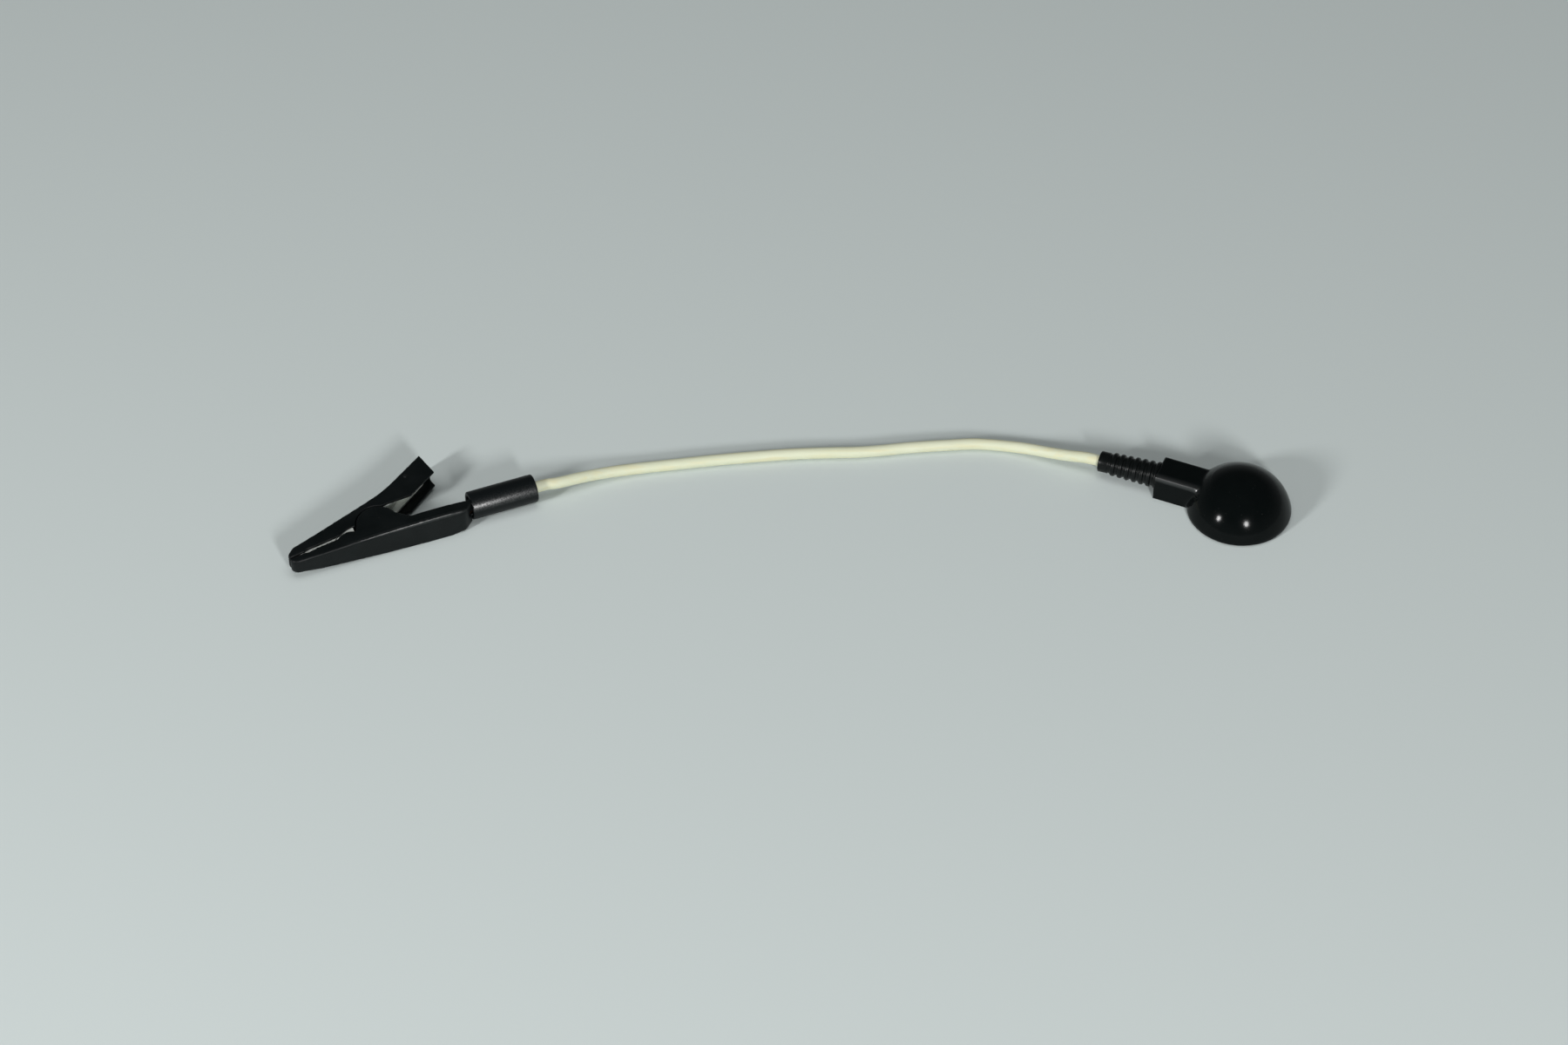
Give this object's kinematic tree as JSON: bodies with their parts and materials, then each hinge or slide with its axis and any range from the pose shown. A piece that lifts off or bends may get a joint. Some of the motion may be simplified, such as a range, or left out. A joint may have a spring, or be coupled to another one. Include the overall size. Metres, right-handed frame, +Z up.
{
  "type": "grounding lead with crocodile clip and press-stud connector",
  "caption": "Short grounding lead: sprung crocodile clip in a black shell, cream wire, ribbed strain relief and a domed press-stud socket.",
  "frame": {"origin": "centre of the outline of the clip and the connector, on the table", "axes": "+X from the clip towards the connector, +Z up from the table, along the hinge pin and the socket's axis"},
  "size_m": [0.1876, 0.0361, 0.0087],
  "materials": {
    "black_shell": "satin moulded plastic",
    "black_sleeve": "matte, fine grain",
    "black_relief": "satin",
    "black_gloss": "glossy",
    "black_cover": "satin",
    "plated_steel": "nickel plated sheet",
    "spring_steel": "drawn wire",
    "copper_strands": "bare copper",
    "tinned_metal": "tinned",
    "brass": "plain sheet",
    "resistor_coat": "lacquered",
    "cream_insulation": "soft PVC, satin"
  },
  "bodies": {
    "clip_and_lead": {"lower_jaw_shell": "black_shell", "lower_contact_jaw": "plated_steel", "hinge_pin": "plated_steel", "torsion_spring": "spring_steel", "barrel_sleeve": "black_sleeve", "clip_conductor": "copper_strands", "clip_wire_end": "cream_insulation", "lead_wire": "cream_insulation", "strain_relief": "black_relief", "snap_wire_end": "cream_insulation", "snap_conductor": "copper_strands", "resistor_body": "resistor_coat", "resistor_leads": "tinned_metal", "solder_joints": "tinned_metal", "solder_tag": "brass", "socket_rivet": "plated_steel", "snap_socket": "plated_steel", "socket_spring": "spring_steel", "snap_base_cover": "black_cover", "snap_dome_shell": "black_gloss"},
    "lever": {"upper_jaw_shell": "black_shell", "upper_contact_jaw": "plated_steel"}
  },
  "joints": [
    {"name": "lever_hinge", "type": "hinge", "parent": "clip_and_lead", "child": "lever", "pos_m": [-0.0779, -0.0057, 0.0029], "axis": [0, 0, -1], "range_deg": [0, 28], "stiffness_Nm_per_rad": 0.12, "deforming": ["torsion_spring"]}
  ]
}
